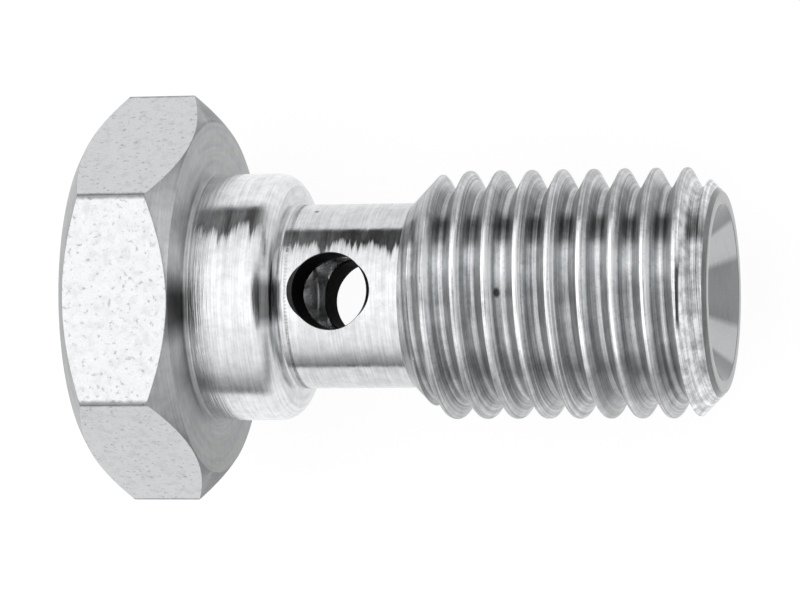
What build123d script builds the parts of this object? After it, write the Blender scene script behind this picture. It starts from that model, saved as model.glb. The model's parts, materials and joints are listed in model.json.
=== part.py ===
from build123d import *
import os
from math import atan2, ceil, cos, degrees, radians, tan

# Banjo bolt, turned and threaded from one hexagon bar. Millimetres.
# It is drawn with its axis along +X: the seat under the head is the plane X = 0, the thread
# points to +X, and one flat of the hexagon faces down. The last step lays it down at rest.

# Head: the hexagon a spanner holds
across_flats = 17.0
head_height = 5.5
seat_diameter = 16.9  # the flat ring under the head, just inside the flats
seat_chamfer_angle = 38.0  # how far the corners are turned back, from the plane of the seat
top_diameter = 15.9  # the flat disc on top of the head
top_chamfer_angle = 32.0

# Collar: centres the banjo eye and its washer
collar_diameter = 11.9
collar_length = 4.2
collar_corner_radius = 1.0
seat_fillet_radius = 0.25

# Neck: the waist that the fluid flows round
neck_diameter = 8.85
neck_end = 10.0  # from the seat to the first trace of thread
neck_fillet_radius = 0.12

# Thread: M12 x 1.5, right-handed; its outside lies near the middle of the tolerance
thread_diameter = 11.85
thread_pitch = 1.5
thread_depth_per_pitch = 0.6134
crest_flat_per_pitch = 0.125
thread_flank_angle = 30.0
thread_start_angle = 45.0  # slope from the neck up to the full thread
shank_length = 24.8  # from the seat to the tip
tip_diameter = 9.5
tip_chamfer_angle = 45.0
resting_crest_to_chamfer = 0.86  # from the lowest full crest to the start of the tip's chamfer

# Drillings: one bore up the axis meets one hole across the neck
bore_diameter = 4.0
bore_past_cross_hole = 0.3
drill_point_angle = 59.0  # half of a 118 degree drill point
bore_mouth_diameter = 8.4
bore_mouth_angle = 45.0
cross_hole_diameter = 3.65
cross_hole_from_seat = 6.66
cross_hole_turn = 4.0  # how far the upper end is turned towards +Y, from square to the flats
cross_hole_mouth_diameter = 4.05
cross_hole_mouth_angle = 45.0

# How far a cutting shape runs past what it cuts
overrun = 1.0

# Worked out from the sizes above
seat_radius = seat_diameter / 2
top_radius = top_diameter / 2
collar_radius = collar_diameter / 2
neck_radius = neck_diameter / 2
thread_radius = thread_diameter / 2
tip_radius = tip_diameter / 2
bore_radius = bore_diameter / 2
cross_hole_radius = cross_hole_diameter / 2
tip_chamfer_length = (thread_radius - tip_radius) * tan(radians(tip_chamfer_angle))
resting_crest = shank_length - tip_chamfer_length - resting_crest_to_chamfer


def turned(profile):
    """Revolves a closed profile, given as lines in (along the axis, radius), about the axis."""
    face = make_face(Plane.XZ * profile)
    return revolve(face, Axis.X)


def turned_points(*points):
    """Revolves a profile with straight sides only."""
    return turned(Polyline(*points, close=True))


def head():
    """Hexagon with its corners turned back above and below; flats face up and down."""
    hexagon = Plane.YZ * RegularPolygon(across_flats / 2, 6, major_radius=False)
    prism = extrude(hexagon, -head_height)
    reach = across_flats / 2 / cos(radians(30)) + overrun
    seat_slope = (reach - seat_radius) * tan(radians(seat_chamfer_angle))
    top_slope = (reach - top_radius) * tan(radians(top_chamfer_angle))
    lens = turned_points(
        (-head_height, 0),
        (-head_height, top_radius),
        (-head_height + top_slope, reach),
        (-seat_slope, reach),
        (0, seat_radius),
        (0, 0),
    )
    return prism & lens


def collar_and_neck():
    """Turned shank from the seat to the first trace of thread."""
    seat_fillet = TangentArc(
        (0, collar_radius + seat_fillet_radius), (seat_fillet_radius, collar_radius), tangent=(0, -1)
    )
    corner = TangentArc(
        (collar_length - collar_corner_radius, collar_radius),
        (collar_length, collar_radius - collar_corner_radius),
        tangent=(1, 0),
    )
    neck_fillet = TangentArc(
        (collar_length, neck_radius + neck_fillet_radius),
        (collar_length + neck_fillet_radius, neck_radius),
        tangent=(0, -1),
    )
    inner_side = Polyline(
        neck_fillet @ 1, (neck_end, neck_radius), (neck_end, 0), (0, 0), seat_fillet @ 0
    )
    outline = seat_fillet + Line(seat_fillet @ 1, corner @ 0) + corner
    outline += Line(corner @ 1, neck_fillet @ 0) + neck_fillet + inner_side
    return turned(outline)


def threaded_rod():
    """Rod of the thread's full diameter, grooved all along and longer than the thread at both ends.

    It stands on the Z axis. On the side of local +X, one crest is centred at resting_crest.
    """
    turns_below = ceil((resting_crest - neck_end) / thread_pitch) + 1
    start = resting_crest + thread_pitch / 2 - turns_below * thread_pitch
    turns = ceil((shank_length - start) / thread_pitch) + 1
    depth = thread_depth_per_pitch * thread_pitch
    clear = crest_flat_per_pitch * thread_pitch / 2  # how far the cutter stands out of the rod
    spread = tan(radians(thread_flank_angle))
    half_rim = (1 - crest_flat_per_pitch) * thread_pitch / 2
    half_root = half_rim - depth * spread
    half_mouth = half_rim + clear * spread
    section = Wire.make_polygon(
        [
            (thread_radius - depth, 0, start - half_root),
            (thread_radius + clear, 0, start - half_mouth),
            (thread_radius + clear, 0, start + half_mouth),
            (thread_radius - depth, 0, start + half_root),
        ],
        close=True,
    )
    helix = Edge.make_helix(thread_pitch, turns * thread_pitch, thread_radius, center=(0, 0, start))
    groove = Solid.sweep(Face(section), helix, is_frenet=True)
    length = (turns + 2) * thread_pitch
    rod = Cylinder(thread_radius, length, align=(Align.CENTER, Align.CENTER, Align.MIN))
    return Pos(0, 0, start - thread_pitch) * Rot(0, 0, 90) * rod - groove


def thread():
    """The rod trimmed to the thread's length, with its slope at the neck and chamfer at the tip."""
    reach = thread_radius + overrun
    start_slope = (reach - neck_radius) / tan(radians(thread_start_angle))
    tip_slope = (reach - tip_radius) * tan(radians(tip_chamfer_angle))
    trim = turned_points(
        (neck_end, 0),
        (neck_end, neck_radius),
        (neck_end + start_slope, reach),
        (shank_length - tip_slope, reach),
        (shank_length, tip_radius),
        (shank_length, 0),
    )
    return Rot(0, 90, 0) * threaded_rod() & trim


def axial_bore():
    """Blind bore from the tip to just past the cross hole, with its drill point and wide mouth."""
    full_depth = cross_hole_from_seat - cross_hole_radius - bore_past_cross_hole
    point_length = bore_radius / tan(radians(drill_point_angle))
    mouth_slope = tan(radians(bore_mouth_angle))
    mouth_radius = bore_mouth_diameter / 2
    return turned_points(
        (full_depth - point_length, 0),
        (full_depth, bore_radius),
        (shank_length - (mouth_radius - bore_radius) / mouth_slope, bore_radius),
        (shank_length + overrun, mouth_radius + overrun * mouth_slope),
        (shank_length + overrun, 0),
    )


def cross_hole():
    """Hole through both walls of the neck, its edges lightly broken at each mouth."""
    mouth_slope = tan(radians(cross_hole_mouth_angle))
    mouth_radius = cross_hole_mouth_diameter / 2
    mouth_depth = (mouth_radius - cross_hole_radius) / mouth_slope
    half_length = neck_radius + overrun
    drill = turned_points(
        (-half_length, 0),
        (-half_length, mouth_radius),
        (-neck_radius, mouth_radius),
        (mouth_depth - neck_radius, cross_hole_radius),
        (neck_radius - mouth_depth, cross_hole_radius),
        (neck_radius, mouth_radius),
        (half_length, mouth_radius),
        (half_length, 0),
    )
    return Rot(-cross_hole_turn, 0, 0) * Pos(cross_hole_from_seat, 0, 0) * Rot(0, 90, 0) * drill


def laid_at_rest(bolt):
    """Tips the bolt about the middle of its seat until the lowest crest and a flat share one floor."""
    flat_end = (seat_radius - across_flats / 2) * tan(radians(seat_chamfer_angle))
    crest_edge = resting_crest + crest_flat_per_pitch * thread_pitch / 2
    rest_tilt = degrees(atan2(across_flats / 2 - thread_radius, crest_edge - flat_end))
    return Rot(0, rest_tilt, 0) * bolt


def banjo_bolt():
    """The whole bolt, lying as it comes to rest, with the origin in the middle of its seat."""
    blank = head() + collar_and_neck() + thread()
    return laid_at_rest(blank - axial_bore() - cross_hole())


os.makedirs("parts", exist_ok=True)
export_step(banjo_bolt(), "parts/banjo_bolt.step")
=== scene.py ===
import json
from functools import cached_property
from math import acos, asin, atan2, ceil, cos, pi, radians, sin, sqrt, tan

import bmesh
import bpy
import numpy as np
from mathutils import Matrix, Vector


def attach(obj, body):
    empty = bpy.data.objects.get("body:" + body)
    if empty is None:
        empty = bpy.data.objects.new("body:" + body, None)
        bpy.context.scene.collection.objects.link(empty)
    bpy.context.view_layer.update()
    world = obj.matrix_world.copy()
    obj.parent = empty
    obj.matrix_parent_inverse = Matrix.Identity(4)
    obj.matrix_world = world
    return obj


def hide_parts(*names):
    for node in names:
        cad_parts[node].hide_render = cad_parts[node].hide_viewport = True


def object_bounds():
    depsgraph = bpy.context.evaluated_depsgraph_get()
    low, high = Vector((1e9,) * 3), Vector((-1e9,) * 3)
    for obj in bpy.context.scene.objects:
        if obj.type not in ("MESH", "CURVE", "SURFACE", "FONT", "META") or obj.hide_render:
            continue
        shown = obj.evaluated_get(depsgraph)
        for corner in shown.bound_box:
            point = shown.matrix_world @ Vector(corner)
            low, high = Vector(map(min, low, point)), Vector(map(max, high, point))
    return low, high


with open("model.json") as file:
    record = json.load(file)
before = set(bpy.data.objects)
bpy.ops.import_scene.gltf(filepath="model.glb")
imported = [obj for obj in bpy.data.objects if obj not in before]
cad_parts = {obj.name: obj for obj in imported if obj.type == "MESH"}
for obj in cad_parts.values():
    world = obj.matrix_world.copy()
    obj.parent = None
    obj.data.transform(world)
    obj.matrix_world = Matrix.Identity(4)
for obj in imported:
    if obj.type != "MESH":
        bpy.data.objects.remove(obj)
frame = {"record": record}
cad_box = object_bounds()

# The bolt is drawn in its own frame, in millimetres: its axis is X and the seat is the plane X = 0.
# An angle round it is measured from straight down towards +Y. It is then tipped as the CAD lies.
MM = 0.001
seat_mount = next(m for m in frame["record"]["mounts"] if m["name"] == "seat_face")
TILT = atan2(-seat_mount["axis"][2], seat_mount["axis"][0])
AXIS = (cos(TILT), 0, -sin(TILT))

# Head
ACROSS_FLATS = 17.0
HEAD_HEIGHT = 5.5
SEAT_RADIUS = 8.45
SEAT_CHAMFER = tan(radians(38))
TOP_RADIUS = 7.95
TOP_CHAMFER = tan(radians(32))
CORNER_ROUND = 0.12  # the six upright edges of the hexagon
FACE_ROUND = 0.1  # the arcs where the flats meet the turned chamfers

# Collar and neck
COLLAR_RADIUS = 5.95
COLLAR_LENGTH = 4.2
COLLAR_ROUND = 1.0
SEAT_FILLET = 0.25
NECK_RADIUS = 4.425
NECK_FILLET = 0.12
NECK_END = 10.0

# Thread
THREAD_RADIUS = 5.925
PITCH = 1.5
THREAD_DEPTH = 0.6134 * PITCH
CREST_FLAT = 0.125 * PITCH
FLANK = tan(radians(30))
START_SLOPE = tan(radians(45))
SHANK_LENGTH = 24.8
TIP_RADIUS = 4.75
TIP_SLOPE = tan(radians(45))
RESTING_CREST = SHANK_LENGTH - (THREAD_RADIUS - TIP_RADIUS) / TIP_SLOPE - 0.86
CREST_ROUND = 0.12
ROOT_ROUND = 0.2
TIP_ROUND = 0.08
TIP_STEP = 0.2  # how far from the tip the thread's rows give way to plain rings

# Drillings
BORE_RADIUS = 2.0
MOUTH_RADIUS = 4.2
BORE_END = 4.535
DRILL_POINT = tan(radians(59))
CROSS_RADIUS = 1.825
CROSS_FROM_SEAT = 6.66
CROSS_TURN = radians(4)
MOUTH_DEPTH = 0.2  # of the cross hole's mouth cone, cut at 45 degrees
EDGE_BREAK = 0.03
BORE_EDGE_ROUND = 0.1  # where the mouth of the bore meets the bore

# Mesh density
COLUMNS = 160
CORNER_STEPS = (-1.0, -0.66, -0.33, 0.33, 0.66, 1.0)
HOLE_HALF_WIDTH = radians(80)
HOLE_ROWS = 14
MOUTH_END = SHANK_LENGTH - (MOUTH_RADIUS - BORE_RADIUS) - 0.4
LONGEST_STEP = 0.6
LONGEST_FLANK_STEP = 0.2
TOP_RINGS = (3.0, 6.0)  # radii of two plain rings on top of the head
SEAT_RING = 7.2
UPPER_EDGE, LOWER_EDGE = 8, 13  # rows of the head in the middle of the flats' rounded edges
RIM_END = 10  # row of the tip where the rounding of the mouth's edge ends
NECK_PATCH, NECK_PATCH_STEPS = (4.5, 8.95), 14  # where the mesh is laid round the cross hole
BORE_PATCH, BORE_PATCH_STEPS = (4.65, 8.85), 5
SAME_POINT = 1e-4
NO_LENGTH = 1e-5
SHARP_FROM = radians(34)

# Material slots of the mesh
HEXAGON, TURNED, THREADED, DRILLED, CROSS_DRILLED = range(5)

# Looks: lengths are in millimetres along the axis, angles in radians from the top towards +Y
SHADED_HALF = 1.2  # the ramps over the angle reach this far to both sides of the top
CHAMFER_AT = (23.3, 23.6)  # where the thread's looks give way to the chamfer's

# Floor, in metres, and light
FLOOR_RADIUS = 0.24
FLOOR_MIDDLE = (0.01, 0.16)
FLOOR_GLOW = 1.05
FLOOR_WHITENESS = 0.86  # the rest is matt and takes the shadow
LIGHT_STRENGTH = 1.52


def corner_half_angle():
    """How far each side of a corner its rounding reaches, seen from the axis."""
    centre = (ACROSS_FLATS / 2 - CORNER_ROUND) / cos(pi / 6)
    return atan2(CORNER_ROUND / 2, centre + CORNER_ROUND * cos(pi / 6))


def column_angles():
    """Angles of the mesh's columns: evenly spaced, with extra ones where a corner is rounded."""
    half = corner_half_angle()
    even = [2 * pi * i / COLUMNS for i in range(COLUMNS)]
    corners = [pi / 6 + i * pi / 3 for i in range(6)]
    extra = [corner + step * half for corner in corners for step in CORNER_STEPS]
    clear = [a for a in even if all(abs(a - c) > 2 * half for c in corners)]
    return np.array(sorted(clear + corners + extra))


def hexagon_radius(angle):
    """Distance from the axis to the side of the hexagon, whose six corners are rounded."""
    from_flat = (angle + pi / 6) % (pi / 3) - pi / 6
    from_corner = pi / 6 - abs(from_flat)
    if from_corner > corner_half_angle():
        return ACROSS_FLATS / 2 / cos(from_flat)
    centre = (ACROSS_FLATS / 2 - CORNER_ROUND) / cos(pi / 6)
    return centre * cos(from_corner) + sqrt(CORNER_ROUND**2 - (centre * sin(from_corner)) ** 2)


def rounded(points, radii, steps=4, share=0.45):
    """Rounds the inner corners of an open outline, each over at most a share of its two sides."""
    points = [np.array(p, float) for p in points]
    outline = [points[0]]
    for before, corner, after, radius in zip(points, points[1:], points[2:], radii):
        back, on = before - corner, after - corner
        back_length, on_length = np.linalg.norm(back), np.linalg.norm(on)
        back, on = back / back_length, on / on_length
        turn = pi - acos(np.clip(back @ on, -1, 1))
        reach = min(radius * tan(turn / 2), share * back_length, share * on_length)
        centre = corner + (back + on) * reach / tan(turn / 2) / sin(turn)
        start, end = corner + back * reach - centre, corner + on * reach - centre
        for t in np.linspace(0, 1, steps + 1):
            outline.append(centre + (sin((1 - t) * turn) * start + sin(t * turn) * end) / sin(turn))
    outline.append(points[-1])
    return [tuple(p) for p in outline]


def divided(outline, longest):
    """Adds points to an outline so that no stretch of it is longer than the one given."""
    result = [outline[0]]
    for start, end in zip(outline, outline[1:]):
        parts = max(1, ceil(np.hypot(end[0] - start[0], end[1] - start[1]) / longest))
        result += [tuple(p) for p in np.linspace(start, end, parts + 1)[1:]]
    return result


class Skin:
    """The points and faces of the bolt's surface, in its own frame."""

    def __init__(self):
        self.points = []
        self.faces = []
        self.slots = []

    def point(self, along, radius, angle):
        """Adds a point and gives its number."""
        self.points.append((along, radius * sin(angle), -radius * cos(angle)))
        return len(self.points) - 1

    def face(self, corners, slot):
        """Adds a face in one of the material slots."""
        self.faces.append(corners)
        self.slots.append(slot)

    def rings(self, outline, angles):
        """Rings of points, one for each point of an outline that is the same on every column."""
        return [[self.point(a, r, angle) for angle in angles] for a, r in outline]

    def band(self, low, high, slot, left_out=()):
        """Faces between two closed rings of points."""
        for i, j in enumerate([*range(1, len(low)), 0]):
            if i not in left_out:
                self.face((low[i], low[j], high[j], high[i]), slot)

    def bands(self, rings, slot):
        """Faces between each ring and the next."""
        for low, high in zip(rings, rings[1:]):
            self.band(low, high, slot)

    def cap(self, ring, along, slot):
        """Closes a ring with a fan of faces round a point on the axis."""
        middle = self.point(along, 0, 0)
        for i, j in enumerate([*range(1, len(ring)), 0]):
            self.face((ring[i], ring[j], middle), slot)


def head_rings(skin, angles):
    """Rings from the middle of the head's top, down its side and in to the seat."""
    columns = []
    for angle in angles:
        side = hexagon_radius(angle)
        top = (-HEAD_HEIGHT, TOP_RADIUS)
        upper = (-HEAD_HEIGHT + (side - TOP_RADIUS) * TOP_CHAMFER, side)
        lower = (-(side - SEAT_RADIUS) * SEAT_CHAMFER, side)
        seat = (0, SEAT_RADIUS)
        corners = [(-HEAD_HEIGHT, TOP_RINGS[1]), top, upper, lower, seat, (0, SEAT_RING)]
        columns.append(rounded(corners, [FACE_ROUND] * 4))
    return [
        [skin.point(*columns[c][row], angle) for c, angle in enumerate(angles)]
        for row in range(len(columns[0]))
    ]


def head(skin, angles):
    """Surface of the hexagon; returns its innermost ring on the seat."""
    rings = head_rings(skin, angles)
    inner = skin.rings([(-HEAD_HEIGHT, TOP_RINGS[0])], angles)
    skin.cap(inner[0], -HEAD_HEIGHT, TURNED)
    skin.bands(inner + rings[: UPPER_EDGE + 1], TURNED)
    skin.bands(rings[UPPER_EDGE : LOWER_EDGE + 1], HEXAGON)
    skin.bands(rings[LOWER_EDGE:], TURNED)
    return rings[-1]


def collar(skin, angles, seat_ring):
    """Surface from the seat over the collar to the start of the neck."""
    outline = rounded(
        [
            (0, SEAT_RING),
            (0, COLLAR_RADIUS),
            (COLLAR_LENGTH, COLLAR_RADIUS),
            (COLLAR_LENGTH, NECK_RADIUS),
            (COLLAR_LENGTH + 0.45, NECK_RADIUS),
        ],
        [SEAT_FILLET, COLLAR_ROUND, NECK_FILLET],
        steps=8,
        share=0.85,
    )
    rings = skin.rings(divided(outline, LONGEST_STEP)[1:], angles)
    skin.bands([seat_ring] + rings, TURNED)
    return rings[-1]


def rectangle(rows, first, last):
    """The points round the edge of a patch of rows, from column first to column last, in order."""
    count = len(rows[0])
    across = [i % count for i in range(first, last + 1)]
    low = [rows[0][i] for i in across]
    high = [rows[-1][i] for i in across]
    left = [row[across[0]] for row in rows[1:-1]]
    right = [row[across[-1]] for row in rows[1:-1]]
    return low + right + high[::-1] + left[::-1]


class Opening:
    """One end of the cross hole, and how the mesh is laid round it."""

    def __init__(self, angles, middle):
        self.middle = middle
        spread = [(angle - middle + pi) % (2 * pi) - pi for angle in angles]
        order = sorted(range(len(angles)), key=lambda i: spread[i])
        inside = [i for i in order if abs(spread[i]) <= HOLE_HALF_WIDTH]
        self.first = inside[0]
        self.last = self.first + len(inside) - 1
        self.spread = [spread[i] for i in inside]
        low, high = self.spread[0], self.spread[-1]
        across = [2 * (s - low) / (high - low) - 1 for s in self.spread]
        along = list(np.linspace(-1, 1, HOLE_ROWS + 1))[1:-1]
        edge = [(-1, v) for v in across] + [(u, 1) for u in along]
        edge += [(1, v) for v in across[::-1]] + [(u, -1) for u in along[::-1]]
        self.round = [atan2(v, u) for u, v in edge]

    def left_out(self, count):
        """Columns whose faces give way to the opening."""
        return {i % count for i in range(self.first, self.last)}

    def rim(self, turn, surface):
        """How far the hole's outer edge is broken, and how high the sharp edge would be."""
        edge = sqrt(surface**2 - (CROSS_RADIUS * sin(turn)) ** 2)
        if surface == BORE_RADIUS:
            return EDGE_BREAK, edge
        return max(EDGE_BREAK, edge - NECK_RADIUS + MOUTH_DEPTH), edge

    def rim_point(self, skin, radius, height, turn):
        """A point at a distance from the hole's axis and a height along it."""
        across = radius * sin(turn)
        along = CROSS_FROM_SEAT + radius * cos(turn)
        return skin.point(along, np.hypot(across, height), self.middle + atan2(across, height))

    def patch(self, skin, edge, low, high, surface, steps):
        """Rings on a round surface, from the hole's rim out to the edge of the patch."""
        rings = []
        along = list(np.linspace(low, high, HOLE_ROWS + 1))
        sides = along[1:-1]
        edge_along = [low] * len(self.spread) + sides + [high] * len(self.spread) + sides[::-1]
        edge_angle = self.spread + [self.spread[-1]] * len(sides)
        edge_angle += self.spread[::-1] + [self.spread[0]] * len(sides)
        for s in np.linspace(0, 1, steps + 1)[:-1]:
            ring = []
            for turn, a, angle in zip(self.round, edge_along, edge_angle):
                radius = CROSS_RADIUS + self.rim(turn, surface)[0]
                rim_along = CROSS_FROM_SEAT + radius * cos(turn)
                rim_angle = asin(radius * sin(turn) / surface)
                place = (1 - s) * rim_along + s * a
                turned_by = self.middle + (1 - s) * rim_angle + s * angle
                ring.append(skin.point(place, surface, turned_by))
            rings.append(ring)
        return rings + [edge]

    def wall(self, skin, outer, inner):
        """Faces down the wall of the hole, from its rounded outer rim to its rounded inner one."""
        rings = [outer]
        for t in (0.25, 0.5, 0.75, 1.0):
            ring = []
            for turn in self.round:
                size, edge = self.rim(turn, NECK_RADIUS)
                start = sqrt(NECK_RADIUS**2 - ((CROSS_RADIUS + size) * sin(turn)) ** 2)
                height = (1 - t) * start + t * (edge - size)
                ring.append(self.rim_point(skin, CROSS_RADIUS + size * (1 - t), height, turn))
            rings.append(ring)
        for t in (0.2, 0.4, 0.6, 0.8, 1.0):
            ring = []
            for turn in self.round:
                size, edge = self.rim(turn, NECK_RADIUS)
                inner_size, inner_edge = self.rim(turn, BORE_RADIUS)
                height = (1 - t) * (edge - size) + t * (inner_edge + inner_size)
                ring.append(self.rim_point(skin, CROSS_RADIUS, height, turn))
            rings.append(ring)
        skin.bands(rings + [inner], CROSS_DRILLED)


def neck_and_bore(skin, angles, collar_ring, thread_ring, mouth_ring):
    """Surface of the neck, the axial bore and the hole that crosses them."""
    openings = [Opening(angles, pi - CROSS_TURN), Opening(angles, -CROSS_TURN)]
    left_out = set()
    for opening in openings:
        left_out |= opening.left_out(len(angles))
    neck_rows = np.linspace(*NECK_PATCH, HOLE_ROWS + 1)
    bore_rows = np.linspace(*BORE_PATCH, HOLE_ROWS + 1)
    neck = skin.rings([(a, NECK_RADIUS) for a in neck_rows], angles)
    bore = skin.rings([(a, BORE_RADIUS) for a in bore_rows], angles)
    skin.band(collar_ring, neck[0], TURNED)
    between = skin.rings([(NECK_END - 0.5, NECK_RADIUS)], angles)
    skin.bands([neck[-1]] + between + [thread_ring], TURNED)
    outline = [(a, BORE_RADIUS) for a in np.linspace(BORE_PATCH[1], MOUTH_END, 10)[1:-1]]
    skin.bands([bore[-1]] + skin.rings(outline, angles) + [mouth_ring], DRILLED)
    drill_point = (BORE_END - 1 / DRILL_POINT, BORE_RADIUS - 1)
    end = skin.rings([(BORE_END, BORE_RADIUS), drill_point], angles)
    skin.bands([bore[0]] + end, DRILLED)
    skin.cap(end[-1], BORE_END - BORE_RADIUS / DRILL_POINT, DRILLED)
    for rows, slot in ((neck, TURNED), (bore, DRILLED)):
        for low, high in zip(rows, rows[1:]):
            skin.band(low, high, slot, left_out)
    for opening in openings:
        outer_edge = rectangle(neck, opening.first, opening.last)
        inner_edge = rectangle(bore, opening.first, opening.last)
        outer = opening.patch(skin, outer_edge, *NECK_PATCH, NECK_RADIUS, NECK_PATCH_STEPS)
        inner = opening.patch(skin, inner_edge, *BORE_PATCH, BORE_RADIUS, BORE_PATCH_STEPS)
        skin.bands(outer, TURNED)
        skin.bands(inner, DRILLED)
        opening.wall(skin, outer[0], inner[0])


def thread_profile():
    """One pitch of the thread, from root to root, as (along the axis, radius)."""
    root = THREAD_RADIUS - THREAD_DEPTH
    flank_end = CREST_FLAT / 2 + THREAD_DEPTH * FLANK
    corners = [
        (-PITCH / 2, root),
        (-flank_end, root),
        (-CREST_FLAT / 2, THREAD_RADIUS),
        (CREST_FLAT / 2, THREAD_RADIUS),
        (flank_end, root),
        (PITCH / 2, root),
    ]
    outline = rounded(corners, [ROOT_ROUND, CREST_ROUND, CREST_ROUND, ROOT_ROUND], steps=3)
    return divided(outline, LONGEST_FLANK_STEP)[:-1]


def tip_outline():
    """From the thread's chamfer over the tip's rim and down its mouth into the bore."""
    corners = [
        (SHANK_LENGTH - TIP_STEP, TIP_RADIUS + TIP_STEP * TIP_SLOPE),
        (SHANK_LENGTH, TIP_RADIUS),
        (SHANK_LENGTH, MOUTH_RADIUS),
        (SHANK_LENGTH - (MOUTH_RADIUS - BORE_RADIUS), BORE_RADIUS),
        (MOUTH_END, BORE_RADIUS),
    ]
    return divided(rounded(corners, [TIP_ROUND, TIP_ROUND, BORE_EDGE_ROUND]), LONGEST_STEP)


def thread(skin, angles):
    """Surface of the thread, its rows following the helix; returns its first ring."""
    profile = thread_profile()
    first_crest = RESTING_CREST - PITCH * ceil((RESTING_CREST - NECK_END + 2 * PITCH) / PITCH)
    turns = ceil((SHANK_LENGTH - first_crest) / PITCH) + 1
    base = np.array([first_crest + k * PITCH + x for k in range(turns) for x, _ in profile])
    cut = np.array([r for _ in range(turns) for _, r in profile])
    end = SHANK_LENGTH - TIP_STEP
    along = base[:, None] + PITCH * angles[None, :] / (2 * pi)
    radius = np.repeat(cut[:, None], len(angles), axis=1)

    def envelope(a):
        """The radius that the slope at the neck and the chamfer at the tip leave the thread."""
        from_neck = NECK_RADIUS + (a - NECK_END) * START_SLOPE
        from_tip = TIP_RADIUS + (SHANK_LENGTH - a) * TIP_SLOPE
        return np.minimum(from_neck, from_tip)

    over = radius - envelope(along)
    rows, columns = np.nonzero(over[:-1] * over[1:] < 0)
    for j, c in zip(rows, columns):
        t = over[j, c] / (over[j, c] - over[j + 1, c])
        near = j if t < 0.5 else j + 1
        crossing = along[j, c] + t * (along[j + 1, c] - along[j, c])
        along[near, c] = crossing
        radius[near, c] = envelope(crossing)
    along = np.clip(along, NECK_END, end)
    radius = np.minimum(radius, envelope(along))
    count, per_turn = len(base), len(profile)
    rings = [
        [skin.point(along[j, c], radius[j, c], angle) for c, angle in enumerate(angles)]
        for j in range(count)
    ]
    for j in range(count - 1):
        this, above = rings[j], rings[j + 1]
        for c in range(len(angles) - 1):
            skin.face((this[c], this[c + 1], above[c + 1], above[c]), THREADED)
        low, high = min(j + per_turn, count - 1), min(j + 1 + per_turn, count - 1)
        skin.face((rings[j][-1], rings[low][0], rings[high][0], rings[j + 1][-1]), THREADED)
    return rings[0]


def bolt_mesh():
    """The whole surface as one closed mesh, in metres and lying as the CAD lies."""
    skin = Skin()
    angles = column_angles()
    seat_ring = head(skin, angles)
    collar_ring = collar(skin, angles, seat_ring)
    thread_ring = thread(skin, angles)
    tip = skin.rings(tip_outline(), angles)
    skin.bands(tip[: RIM_END + 1], TURNED)
    skin.bands(tip[RIM_END:], DRILLED)
    neck_and_bore(skin, angles, collar_ring, thread_ring, tip[-1])
    mesh = bpy.data.meshes.new("banjo_bolt_skin")
    mesh.from_pydata(skin.points, [], skin.faces)
    mesh.polygons.foreach_set("material_index", skin.slots)
    build = bmesh.new()
    build.from_mesh(mesh)
    bmesh.ops.remove_doubles(build, verts=build.verts, dist=SAME_POINT)
    bmesh.ops.dissolve_degenerate(build, edges=build.edges, dist=NO_LENGTH)
    bmesh.ops.recalc_face_normals(build, faces=build.faces)
    laid_down = Matrix.Rotation(TILT, 4, "Y") @ Matrix.Scale(MM, 4)
    bmesh.ops.transform(build, verts=build.verts, matrix=laid_down)
    build.to_mesh(mesh)
    build.free()
    mesh.polygons.foreach_set("use_smooth", [True] * len(mesh.polygons))
    mesh.set_sharp_from_angle(angle=SHARP_FROM)
    return mesh


class Term:
    """A value in a node tree, which takes part in sums as a number does."""

    def __init__(self, nodes, socket):
        self.nodes = nodes
        self.socket = socket

    def __add__(self, other):
        return self.nodes.math("ADD", self, other)

    def __sub__(self, other):
        return self.nodes.math("SUBTRACT", self, other)

    def __rsub__(self, other):
        return self.nodes.math("SUBTRACT", other, self)

    def __mul__(self, other):
        return self.nodes.math("MULTIPLY", self, other)

    def __truediv__(self, other):
        return self.nodes.math("DIVIDE", self, other)

    def __abs__(self):
        return self.nodes.math("ABSOLUTE", self)


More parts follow.
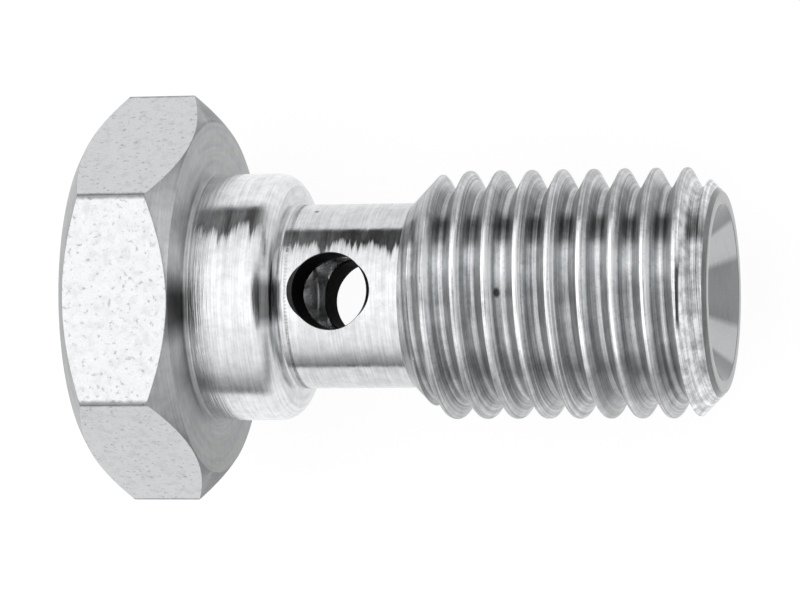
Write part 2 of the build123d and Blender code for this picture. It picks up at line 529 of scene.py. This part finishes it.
class Nodes:
    """The node tree of a material or of the world, emptied and then built up from terms."""

    def __init__(self, owner):
        owner.use_nodes = True
        self.tree = owner.node_tree
        self.tree.nodes.clear()

    def join(self, socket, value):
        """Links a term to a socket, or sets a plain value on it."""
        if isinstance(value, Term):
            self.tree.links.new(value.socket, socket)
        else:
            socket.default_value = value

    def add(self, kind, *inputs, **settings):
        """Adds a node. Its inputs are given in order or by name, beside the node's own settings."""
        made = self.tree.nodes.new("ShaderNode" + kind)
        named = {}
        for name, value in settings.items():
            if hasattr(made, name):
                setattr(made, name, value)
            else:
                named[name] = value
        for target, value in [*enumerate(inputs), *named.items()]:
            self.join(made.inputs[target], value)
        return made

    def get(self, kind, *inputs, output=0, **settings):
        """Adds a node and gives one of its outputs."""
        return Term(self, self.add(kind, *inputs, **settings).outputs[output])

    def math(self, operation, a, b=0.0):
        """One step of arithmetic."""
        return self.get("Math", a, b, operation=operation)

    def vector(self, operation, a, b=(0, 0, 0), output=0):
        """One step of arithmetic on vectors or colours."""
        return self.get("VectorMath", a, b, output=output, operation=operation)

    def dot(self, a, b):
        """How far a vector reaches in a fixed direction."""
        return self.vector("DOT_PRODUCT", a, tuple(b), output="Value")

    def combined(self, x, y, z):
        """The vector with these parts."""
        return self.get("CombineXYZ", x, y, z)

    def separated(self, vector):
        """The three parts of a vector."""
        return [Term(self, part) for part in self.add("SeparateXYZ", vector).outputs]

    def noise(self, place, scale, detail=3.0, roughness=0.65):
        """Cloudy noise between 0 and 1, mostly near a half."""
        return self.get("TexNoise", place, Scale=scale, Detail=detail, Roughness=roughness)

    def span(self, value, low, high, start=0.0, end=1.0, kind="LINEAR"):
        """Goes from start to end while the value goes from low to high, and stays there."""
        return self.get("MapRange", value, low, high, start, end, interpolation_type=kind)

    def ramp(self, factor, *stops):
        """A ramp of greys; each stop is (place, level)."""
        made = self.add("ValToRGB", factor)
        elements = made.color_ramp.elements
        for _ in stops[2:]:
            elements.new(0.5)
        for element, (place, level) in zip(elements, stops):
            element.position = place
            element.color = (level, level, level, 1)
        return Term(self, made.outputs[0])

    def mixed(self, factor, a, b):
        """Colour a where the factor is 0 and colour b where it is 1."""
        made = self.add("Mix", data_type="RGBA")
        for place, value in ((0, factor), (6, a), (7, b)):
            self.join(made.inputs[place], value)
        return Term(self, made.outputs[2])


class Finish(Nodes):
    """A metal material, and where its points lie in the bolt's own frame, in millimetres."""

    def __init__(self, name):
        self.material = bpy.data.materials.new(name)
        super().__init__(self.material)
        self.shader = self.add("BsdfPrincipled", Metallic=1.0)
        self.add("OutputMaterial", Term(self, self.shader.outputs[0]))
        place = self.get("TexCoord", output="Object")
        place = self.get("VectorRotate", place, rotation_type="Y_AXIS", Angle=-TILT)
        self.point = self.vector("MULTIPLY", place, (1000, 1000, 1000))
        self.along, self.side, self.up = self.separated(self.point)

    @cached_property
    def radius(self):
        """Distance from the axis."""
        off_axis = self.combined(0.0, self.side, self.up)
        return self.vector("LENGTH", off_axis, output="Value")

    @cached_property
    def from_top(self):
        """Angle round the bolt from straight up towards +Y."""
        return self.math("ARCTAN2", self.side, self.up)

    @cached_property
    def from_bottom(self):
        """Angle round the bolt from straight down towards +Y."""
        return self.math("ARCTAN2", self.side, self.up * -1.0)

    def lathe_point(self, fineness, spread):
        """Coordinates that are long round the bolt and short along it, as a tool leaves marks."""
        along = (self.along - self.radius * 0.4) * fineness
        side = self.side / self.radius * spread
        return self.combined(along, side, self.up / self.radius * spread)

    def painted_light_by_angle(self, *stops):
        """A ramp of greys over the angle from the top, for painted light and shade round the bolt.
        """
        return self.ramp(self.from_top / (2 * SHADED_HALF) + 0.5, *stops)

    def spot(self, middle, size, level):
        """A factor that falls to the level within a small round spot."""
        reach = self.vector("DISTANCE", self.point, middle, output="Value")
        return self.ramp(reach / (2 * size), (0.3, level), (0.6, 1.0))

    def set_colour(self, colour, *factors):
        """Gives the surface a colour times each factor; a factor of 1 leaves it as it is."""
        for factor in factors:
            colour = self.vector("MULTIPLY", colour, factor)
        self.join(self.shader.inputs["Base Color"], colour)

    def set_roughness(self, value):
        """Gives the surface a roughness that varies."""
        self.join(self.shader.inputs["Roughness"], value)

    def set_relief(self, height, distance, **normal):
        """Gives the surface a relief; the distance is in metres."""
        relief = self.get("Bump", Height=height, Distance=distance, Strength=1.0, **normal)
        self.join(self.shader.inputs["Normal"], relief)


def cool_grey(level, step=0.01):
    """A grey that is slightly blue."""
    return (level, level + step, level + 2 * step, 1)


def grey(level):
    """A neutral grey."""
    return (level, level, level, 1)


WHITE = grey(1)


def hexagon_material():
    """Drawn bar under zinc: satin and blotchy, with small grey pits and painted shade along its
    rounded corners.
    """
    look = Finish("zinc_on_drawn_hexagon")
    cloud = look.noise(look.point, 1.3, 4.0)
    blotch = look.ramp(look.noise(look.point, 2.2, 3.0, 0.55), (0.34, 0.9), (0.5, 1.0))
    pit = look.ramp(look.noise(look.point, 4.5, 2.0, 0.6), (0.3, 0.66), (0.4, 1.0))
    grain = look.ramp(look.noise(look.point, 11.0, 2.0, 0.6), (0.3, 0.95), (0.7, 1.05))
    # Painted shade: the rounded upright corners are darkened, in a broken line.
    broken = (look.noise(look.point, 3.0) - 0.5) * 0.12
    corner = look.ramp(look.radius + broken - 9.0, (0.7, 1.0), (0.77, 0.42))
    look.set_colour(look.mixed(cloud, cool_grey(0.62), cool_grey(0.69)), blotch, pit, grain, corner)
    look.set_roughness(look.ramp(cloud, (0.3, 0.30), (0.7, 0.42)))
    look.set_relief(grain * 0.3 + pit, 0.00001)
    return look.material


def head_factors(look, on_head):
    """A duller head, painted shade on the sides of its seat's face, and a dark patch at the seat.
    """
    under_head = on_head * look.math("GREATER_THAN", look.along, -2.5)
    # Painted shade: the seat's face darkens towards its sides, by the angle round the bolt.
    seat_face = look.painted_light_by_angle((0.12, 0.42), (0.37, 0.82), (0.5, 0.95), (0.62, 1.05), (0.87, 0.54))
    dark_head_and_seat_shade = look.mixed(on_head, WHITE, grey(0.62))
    dark_head_and_seat_shade = look.mixed(under_head, dark_head_and_seat_shade, seat_face)
    # A dark patch near the top of the seat, placed by the angle round the bolt.
    dark_patch_at_seat = look.ramp(abs(look.from_top + 0.06), (0.08, 0.2), (0.24, 1.0))
    near_seat = look.ramp(look.radius - 8.0, (0.4, 1.0), (0.9, 0.0))
    return dark_head_and_seat_shade, look.mixed(under_head * near_seat, WHITE, dark_patch_at_seat)


def collar_factors(look, on_head):
    """A dark patch next to the seat, painted light on the sides, and a dark mark where the collar
    ends.
    """
    off_head = 1.0 - on_head
    # A dark patch on the collar next to the seat, near the top, placed by the angle round the bolt.
    by_seat = look.span(look.along, 0.3, 1.1, 0.75, 0.0) * off_head
    dark_patch_by_seat = look.ramp(abs(look.from_top + 0.1), (0.1, 0.3), (0.3, 1.0))
    on_collar = look.math("LESS_THAN", look.along, COLLAR_LENGTH - 0.1) * off_head
    # Painted light: the collar is paler towards its sides, by the angle round the bolt.
    sides = look.ramp(abs(look.from_top), (0.72, 1.0), (0.9, 1.22))
    from_mark = look.math("MAXIMUM", abs(look.along - 3.95), abs(look.from_top + 0.03) * 2.0)
    mark = look.ramp(from_mark, (0.25, 0.3), (0.48, 1.0))
    return look.mixed(by_seat, WHITE, dark_patch_by_seat), look.mixed(on_collar, WHITE, sides), mark


def ragged_normal(look):
    """The normal, turned round the bolt in uneven teeth, to fray the dark line on the +Y side."""
    strip = look.combined(look.along, 0.0, 0.0)
    teeth = look.ramp(look.noise(strip, 0.9, 5.0, 0.75), (0.4, 0.03), (0.66, 0.3))
    below = 0.76 - look.from_top
    turn = look.math("MAXIMUM", look.math("MINIMUM", below, teeth * 2.0 - below), 0.0)
    normal = look.get("NewGeometry", output="Normal")
    round_it = look.vector("CROSS_PRODUCT", normal, AXIS)
    turned = look.get("VectorMath", round_it, operation="SCALE", Scale=turn)
    return look.vector("NORMALIZE", look.vector("ADD", normal, turned))


def turned_material():
    """Turned steel under zinc: bright, with fine rings and streaks; duller on the head and tip."""
    look = Finish("zinc_on_turned_steel")
    fine = look.noise(look.lathe_point(9.0, 1.6), 1.0)
    broad = look.noise(look.lathe_point(1.8, 1.1), 1.0)
    base = look.mixed(look.ramp(fine, (0.3, 0.0), (0.7, 1.0)), cool_grey(0.55), cool_grey(0.73))
    blotch = look.ramp(look.noise(look.point, 1.6, 4.0), (0.3, 0.85), (0.6, 1.03))
    on_head = look.span(look.along, 0.05, 0.3, 1.0, 0.0)
    rim = look.ramp(look.along - 24.0, (0.3, 1.0), (0.6, 0.3))
    nick = look.spot((5.48, 4.06, 1.76), 0.12, 0.25)
    # Painted shade on the seat's face and painted light on the collar's sides, with dark patches
    # and a mark.
    painted_light_and_dark_patches = [*head_factors(look, on_head), *collar_factors(look, on_head)]
    look.set_colour(base, blotch, rim, nick, *painted_light_and_dark_patches)
    gloss = look.ramp(broad, (0.3, 0.14), (0.7, 0.26))
    look.set_roughness(look.mixed(on_head, gloss, grey(0.42)))
    look.set_relief(fine, 0.00001, Normal=ragged_normal(look))
    # Marks that run round the bolt spread its reflections along the axis.
    look.shader.inputs["Anisotropic"].default_value = 0.9
    look.shader.inputs["Tangent"].default_value = AXIS
    return look.material


def painted_rib_highlight_and_shade(look, turns, at_tip):
    """Painted highlight and shade from root to root of the thread, pale on the crest, which fade on
    the bolt's sides.
    """
    in_pitch = look.math("FRACT", (look.along - RESTING_CREST) / PITCH - turns + 0.5)
    root_to_crest = (0.0, 1.0), (0.09, 0.85), (0.14, 0.7), (0.4, 0.9)
    crest_to_root = (0.45, 1.5), (0.68, 1.6), (0.73, 0.6), (0.78, 0.75), (0.84, 1.15), (1.0, 1.05)
    # Painted highlight on and just past the crest, painted shade on the flanks.
    shade = look.ramp(in_pitch, *root_to_crest, *crest_to_root)
    on_sides = look.span(abs(look.from_top), 0.35, 0.8)
    return look.mixed(look.math("MAXIMUM", at_tip, on_sides * 0.9), shade, WHITE)


def thread_factors(look, at_tip):
    """Painted light and shade round the thread, a mottled chamfer, painted shadow in the roots, and
    a dark line of painted shade.
    """
    lower_side = (0.08, 0.76), (0.2, 0.74), (0.3, 0.88), (0.5, 1.0)
    upper_side = (0.62, 1.22), (0.73, 1.15), (0.8, 0.84), (0.9, 0.8)
    # Painted light and shade: bands of lighter and darker by the angle round the thread.
    painted_light_round_thread = look.painted_light_by_angle(*lower_side, *upper_side)
    chamfer = look.ramp(look.noise(look.point, 1.7, 3.0, 0.6), (0.36, 0.85), (0.62, 1.4))
    # Painted shadow: the thread's roots are darkened on one side of the top.
    shadow = look.ramp(abs(look.from_top - 0.66), (0.1, 0.45), (0.2, 1.0))
    above_root = look.ramp(look.radius - 5.0, (0.2, 0.0), (0.5, 1.0))
    # Painted shade: a short dark line at the top of the last root, next to the chamfer.
    from_dash = look.math("MAXIMUM", abs(look.along - 23.62) * 4.0, abs(look.from_top))
    painted_shade_line = look.ramp(from_dash, (0.2, 0.12), (0.34, 1.0))
    return look.mixed(at_tip, painted_light_round_thread, chamfer), look.mixed(above_root, shadow, WHITE), painted_shade_line


def threaded_material():
    """Cut thread under zinc: fine lines along the helix, painted highlights and shade on every rib,
    painted shade in the roots, and a small dark nick.
    """
    look = Finish("zinc_on_cut_thread")
    turns = look.from_bottom / (2 * pi)
    phase = (look.along / PITCH - turns) * (2 * pi)
    round_x = look.math("COSINE", phase) * 2.2
    round_y = look.math("SINE", phase) * 2.2
    helix = look.combined(round_x, round_y, look.along * 0.9)
    lines = look.noise(helix, 1.0, 3.0, 0.6)
    finer = look.noise(look.vector("MULTIPLY", helix, (2.2, 2.2, 1.6)), 1.0, 3.0, 0.6)
    grain = look.noise(look.point, 5.0, 3.0)
    at_tip = look.span(look.along, *CHAMFER_AT)
    base = look.mixed(grain, cool_grey(0.55), cool_grey(0.66))
    streaks = [
        look.ramp(lines, (0.35, 0.8), (0.65, 1.15)),
        look.ramp(finer, (0.35, 0.72), (0.65, 1.22)),
    ]
    patch = look.ramp(look.noise(look.point, 1.1, 3.0, 0.6), (0.3, 0.8), (0.65, 1.15))
    speck = look.ramp(grain, (0.33, 0.85), (0.45, 1.0))
    nick = look.spot((15.02, 0.14, 5.23), 0.25, 0.12)
    painted_rib_light = painted_rib_highlight_and_shade(look, turns, at_tip)
    look.set_colour(base, painted_rib_light, *streaks, patch, speck, nick, *thread_factors(look, at_tip))
    look.set_roughness(look.ramp(grain, (0.3, 0.28), (0.7, 0.4)))
    look.set_relief(lines + finer * 0.5, 0.00005)
    return look.material


def drilled_material():
    """The bore and its mouth: duller steel with fine rings, painted light deep in the bore, and
    painted reflections as lighter sectors in the mouth.
    """
    look = Finish("zinc_in_the_bore")
    fine = look.noise(look.lathe_point(6.0, 2.0), 1.0)
    # Painted light: the bore is made much paler deeper in, away from the tip.
    painted_light_deep_in_bore = look.ramp(look.along - 22.0, (0.3, 2.6), (0.7, 1.0))
    # Painted reflection: lighter sectors in the mouth, by the angle round the bolt.
    painted_reflection_sectors = look.ramp(abs(abs(look.from_bottom) - 0.68), (0.22, 1.9), (0.32, 1.0))
    look.set_colour(look.mixed(fine, cool_grey(0.22, 0.005), cool_grey(0.29, 0.005)), painted_light_deep_in_bore, painted_reflection_sectors)
    look.set_roughness(look.ramp(fine, (0.3, 0.2), (0.7, 0.32)))
    look.set_relief(fine, 0.000012)
    return look.material


def cross_drilled_material():
    """The wall of the cross hole: painted shade, nearly black, with one painted highlight as a
    bright arc on its outer edge.
    """
    look = Finish("cross_hole_wall_painted_shade_and_highlight")
    # Painted highlight: one bright arc on the hole's outer edge.
    arc_at = 0.8  # radians from the tip's side of the hole, towards -Y
    towards = (cos(arc_at), -sin(arc_at), 0)
    reach = look.dot(look.point, towards) - CROSS_FROM_SEAT * cos(arc_at)
    at_mouth = look.span(look.radius, 4.15, 4.25)
    # Painted shade: the wall is coloured nearly black.
    dark = look.mixed(look.noise(look.point, 4.0), grey(0.03), grey(0.09))
    look.set_colour(look.mixed(look.span(reach, 1.5, 1.75) * at_mouth, dark, grey(0.85)))
    look.shader.inputs["Specular Tint"].default_value = grey(0.12)
    look.shader.inputs["Roughness"].default_value = 0.4
    return look.material


def make_bolt():
    """The dressed bolt, with a material for each slot of its mesh, in the slots' order."""
    bolt = bpy.data.objects.new("banjo_bolt_dressed", bolt_mesh())
    bpy.context.scene.collection.objects.link(bolt)
    for make in (
        hexagon_material,
        turned_material,
        threaded_material,
        drilled_material,
        cross_drilled_material,
    ):
        bolt.data.materials.append(make())
    weighted = bolt.modifiers.new("even_flats", "WEIGHTED_NORMAL")
    weighted.keep_sharp = True
    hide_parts("banjo_bolt")
    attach(bolt, "root")


def make_floor():
    """A pale floor under the bolt, white to the eye and in its reflection, with a faint shadow."""
    middle = (*FLOOR_MIDDLE, cad_box[0][2])
    bpy.ops.mesh.primitive_circle_add(
        vertices=96, radius=FLOOR_RADIUS, fill_type="NGON", location=middle
    )
    floor = bpy.context.object
    floor.name = "floor"
    material = bpy.data.materials.new("pale_floor")
    nodes = Nodes(material)
    rays = nodes.add("LightPath").outputs
    camera, glossy, through = (
        Term(nodes, rays["Is %s Ray" % kind]) for kind in ("Camera", "Glossy", "Transmission")
    )
    seen = nodes.math("MAXIMUM", nodes.math("MAXIMUM", camera, glossy), through)
    matt = nodes.get("BsdfDiffuse", grey(0.9))
    white = nodes.get("Emission", WHITE, FLOOR_GLOW)
    nodes.add("OutputMaterial", nodes.get("MixShader", seen * FLOOR_WHITENESS, matt, white))
    floor.data.materials.append(material)


def camera_directions():
    """Unit vectors to the right, up and back to the camera, as fitted to the photo's outlines."""
    side_turn, roll, cross_turn = 0.245, 0.0096, -0.009
    axis = Vector(AXIS)
    flat = Vector((sin(TILT), 0, cos(TILT)))
    across = Vector((0, 1, 0))
    near = cos(cross_turn) * flat - sin(cross_turn) * across
    high = sin(cross_turn) * flat + cos(cross_turn) * across
    back = sin(side_turn) * axis + cos(side_turn) * near
    level = cos(side_turn) * axis - sin(side_turn) * near
    right = cos(roll) * level - sin(roll) * high
    upward = sin(roll) * level + cos(roll) * high
    return right, upward, back


def dome(nodes, side, up):
    """The light from each height, with a dark band at the horizon, deepest on the +Y side."""
    place = nodes.span(up, -1.0, 1.0)

    def by_height(*stops):
        return nodes.ramp(place, *[((height + 1) / 2, level) for height, level in stops])

    open_band = (-0.2, 0.66), (-0.15, 0.08), (-0.08, 0.1), (-0.03, 0.22), (0.17, 0.42), (0.3, 0.6)
    dark_band = (-0.11, 0.66), (-0.08, 0.03), (0.15, 0.03), (0.21, 0.18), (0.31, 0.5), (0.47, 0.8)
    pale_band = (-0.2, 0.66), (-0.1, 0.6), (0.1, 0.6), (0.3, 0.68)
    open_side = by_height(*open_band, (0.45, 0.76), (0.8, 0.88), (1.0, 1.05))
    dark_side = by_height(*dark_band, (0.8, 0.92), (1.0, 1.05))
    ends = by_height(*pale_band, (0.45, 0.76), (0.8, 0.88), (1.0, 1.05))
    to_dark_side = nodes.span(side, 0.0, 0.5, kind="SMOOTHSTEP")
    to_ends = nodes.span(abs(side), 0.2, 0.55, 1.0, 0.0, kind="SMOOTHSTEP")
    return nodes.mixed(to_ends, nodes.mixed(to_dark_side, open_side, dark_side), ends)


def dark_shape(nodes, direction, up):
    """One round dark shape overhead: what the metal mirrors of the one who looks at it."""
    size, off_middle = 0.42, 0.2
    right, upward, _ = camera_directions()
    across = nodes.dot(direction, upward) / size
    along = (nodes.dot(direction, right) - off_middle) / size
    reach = nodes.math("POWER", across, 2.0) + nodes.math("POWER", along, 2.0)
    shape = nodes.span(nodes.math("SQRT", reach), 0.8, 1.1, 1.0, 0.0, kind="SMOOTHSTEP")
    return shape * nodes.math("GREATER_THAN", up, 0.5)


def make_light():
    """A soft pale room, with the dark places that the photo's bolt mirrors."""
    world = bpy.context.scene.world or bpy.data.worlds.new("studio")
    bpy.context.scene.world = world
    nodes = Nodes(world)
    direction = nodes.get("TexCoord", output="Generated")
    _, side, up = nodes.separated(direction)
    light = nodes.mixed(dark_shape(nodes, direction, up), dome(nodes, side, up), grey(0.03))
    nodes.add("OutputWorld", nodes.get("Background", light, LIGHT_STRENGTH))


def make_camera():
    """Looks down on the bolt as the photo does; its numbers were fitted to the photo's outlines."""
    width, height = 800, 600
    pixels_per_mm, distance_px = 20.65, 4500
    seat_x, seat_y = 218.2, 297.4
    right, upward, back = camera_directions()
    camera = bpy.data.objects.new("camera", bpy.data.cameras.new("camera"))
    camera.data.sensor_width = 36
    camera.data.lens = 36 * distance_px / width
    place = back * distance_px + right * (width / 2 - seat_x) - upward * (height / 2 - seat_y)
    turn = Matrix((right, upward, back)).transposed()
    camera.matrix_world = Matrix.Translation(place * MM / pixels_per_mm) @ turn.to_4x4()
    camera.data.clip_start, camera.data.clip_end = 0.01, 10
    bpy.context.scene.collection.objects.link(camera)
    bpy.context.scene.camera = camera


make_bolt()
make_floor()
make_light()
make_camera()
bpy.context.scene.view_settings.view_transform = "Standard"
